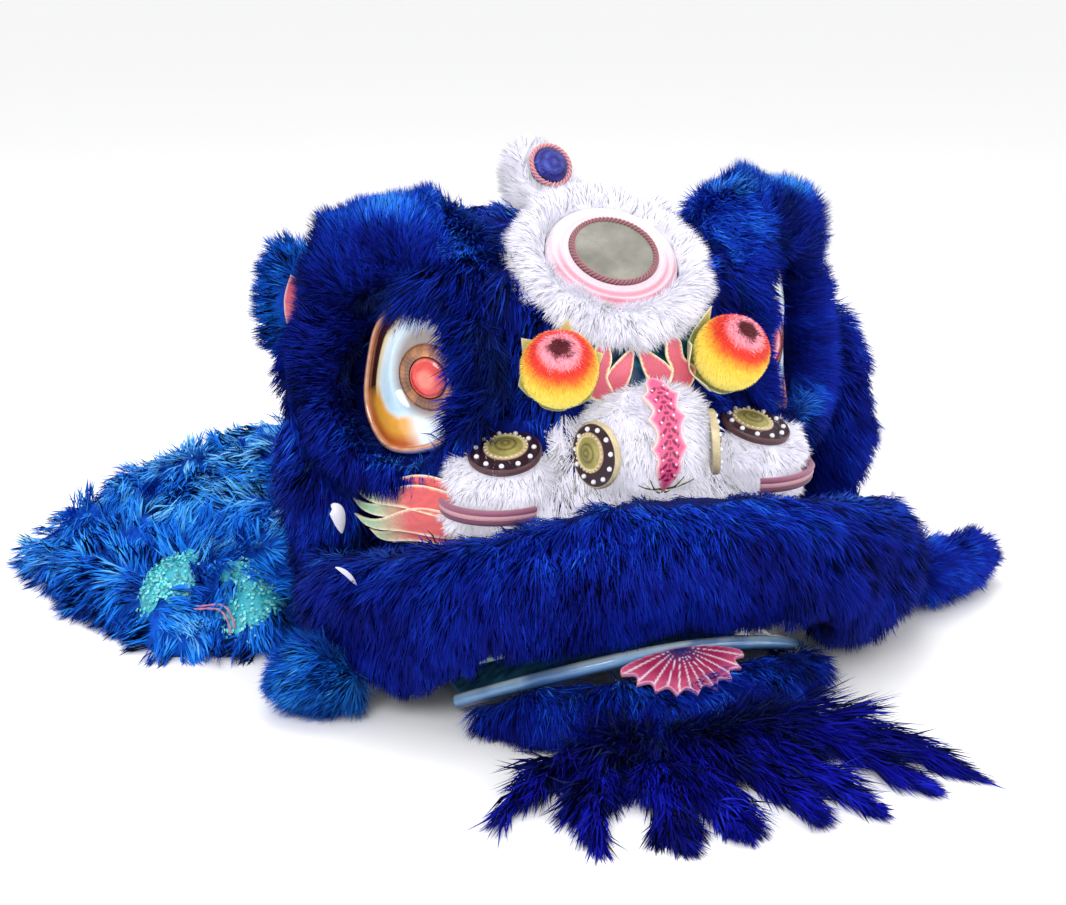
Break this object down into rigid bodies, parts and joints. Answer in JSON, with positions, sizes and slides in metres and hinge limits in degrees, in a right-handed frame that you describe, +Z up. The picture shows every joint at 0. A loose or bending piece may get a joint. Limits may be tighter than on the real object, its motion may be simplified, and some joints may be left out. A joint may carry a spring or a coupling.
{
  "type": "lion dance head",
  "caption": "Lion dance head lying on the floor, deep blue fur over a hollow dome, with a hinged lower jaw, pompoms, a forehead mirror and a bunched fur-cloth body.",
  "frame": {"origin": "bottom centre of the bounding box, on the floor", "axes": "+Z up, the lion faces -Y, +X is on the right of someone who looks it in the face"},
  "size_m": [1.2118, 1.2006, 0.59],
  "materials": {
    "back_fur": "deep long-pile fur cloth",
    "beard": "long combed fur, royal blue",
    "body_cloth": "fur cloth with bands of teal glitter cloth",
    "brow_fur_left": "deep long-pile fur, navy to royal blue",
    "brow_fur_right": "deep long-pile fur, navy to royal blue",
    "cheek_fur_left": "deep long-pile fur, navy to royal blue",
    "cheek_fur_right": "deep long-pile fur, navy to royal blue",
    "ear_inner_left": "short pink plush",
    "ear_inner_right": "short pink plush",
    "ear_left": "deep long-pile fur, azure",
    "ear_right": "deep long-pile fur, azure",
    "eye_rim_left": "glossy pink and gold edge",
    "eye_rim_right": "glossy pink and gold edge",
    "eyeball_left": "glossy pale blue eye with painted bands",
    "eyeball_right": "glossy pale blue eye with painted bands",
    "flame_left": "painted coral flame with pale green tips",
    "flame_right": "painted coral flame with pale green tips",
    "forehead_disc": "short pink plush over a soft disc",
    "forehead_fur": "white plush fur",
    "head_shell": "painted and lacquered paper over a light frame",
    "horn_cap": "short blue-violet plush",
    "horn_fur": "white plush fur",
    "horn_ring": "glossy pink and gold edge",
    "iris_left": "glossy coral red",
    "iris_right": "glossy coral red",
    "iris_ring_left": "gilded and painted ring",
    "iris_ring_right": "gilded and painted ring",
    "jaw_board": "glossy painted board",
    "jaw_fur": "deep long-pile fur, navy to royal blue",
    "jaw_petals": "pink felt petals with white rays",
    "jaw_rim": "glossy blue-white piping",
    "lip_fur": "deep long-pile fur, navy to royal blue",
    "lobe_disc_left": "plum felt disc with beads round a gold middle",
    "lobe_disc_right": "plum felt disc with beads round a gold middle",
    "mirror": "slightly frosted round mirror",
    "mirror_rim": "braided mauve cord",
    "mouth_rim": "glossy pale grey-green edge",
    "nose_disc_left": "plum felt disc with beads round a gold middle",
    "nose_disc_right": "plum felt disc with beads round a gold middle",
    "nose_fur": "white plush fur",
    "nose_leaf_left": "pink felt leaf with a cream edge",
    "nose_leaf_right": "pink felt leaf with a cream edge",
    "nose_lobe_left": "white plush fur",
    "nose_lobe_right": "white plush fur",
    "nose_strip": "embroidered hot pink strip",
    "nostril_wing_left": "white plush fur",
    "nostril_wing_right": "white plush fur",
    "pompom_left": "clipped plush ball, maroon through orange to yellow",
    "pompom_petals_left": "stiffened felt petals",
    "pompom_petals_right": "stiffened felt petals",
    "pompom_post_left": "cord-wrapped wire",
    "pompom_post_right": "cord-wrapped wire",
    "pompom_right": "clipped plush ball, maroon through orange to yellow",
    "tuft_left": "deep long-pile fur, azure",
    "tuft_right": "deep long-pile fur, navy to royal blue"
  },
  "bodies": {
    "head": {"back_fur": "back_fur", "body_cloth": "body_cloth", "brow_fur_left": "brow_fur_left", "brow_fur_right": "brow_fur_right", "cheek_fur_left": "cheek_fur_left", "cheek_fur_right": "cheek_fur_right", "ear_inner_left": "ear_inner_left", "ear_inner_right": "ear_inner_right", "ear_left": "ear_left", "ear_right": "ear_right", "eye_rim_left": "eye_rim_left", "eye_rim_right": "eye_rim_right", "eyeball_left": "eyeball_left", "eyeball_right": "eyeball_right", "flame_left": "flame_left", "flame_right": "flame_right", "forehead_disc": "forehead_disc", "forehead_fur": "forehead_fur", "head_shell": "head_shell", "horn_cap": "horn_cap", "horn_fur": "horn_fur", "horn_ring": "horn_ring", "iris_left": "iris_left", "iris_right": "iris_right", "iris_ring_left": "iris_ring_left", "iris_ring_right": "iris_ring_right", "lip_fur": "lip_fur", "lobe_disc_left": "lobe_disc_left", "lobe_disc_right": "lobe_disc_right", "mirror": "mirror", "mirror_rim": "mirror_rim", "mouth_rim": "mouth_rim", "nose_disc_left": "nose_disc_left", "nose_disc_right": "nose_disc_right", "nose_fur": "nose_fur", "nose_leaf_left": "nose_leaf_left", "nose_leaf_right": "nose_leaf_right", "nose_lobe_left": "nose_lobe_left", "nose_lobe_right": "nose_lobe_right", "nose_strip": "nose_strip", "nostril_wing_left": "nostril_wing_left", "nostril_wing_right": "nostril_wing_right", "pompom_left": "pompom_left", "pompom_petals_left": "pompom_petals_left", "pompom_petals_right": "pompom_petals_right", "pompom_post_left": "pompom_post_left", "pompom_post_right": "pompom_post_right", "pompom_right": "pompom_right", "tuft_left": "tuft_left", "tuft_right": "tuft_right"},
    "jaw": {"jaw_board": "jaw_board", "jaw_rim": "jaw_rim", "jaw_petals": "jaw_petals", "jaw_fur": "jaw_fur", "beard": "beard"}
  },
  "joints": [
    {"name": "jaw_hinge", "type": "hinge", "parent": "head", "child": "jaw", "pos_m": [0.03171, -0.02857, 0.105], "axis": [1, 0, 0], "range_deg": [0, 25]}
  ]
}
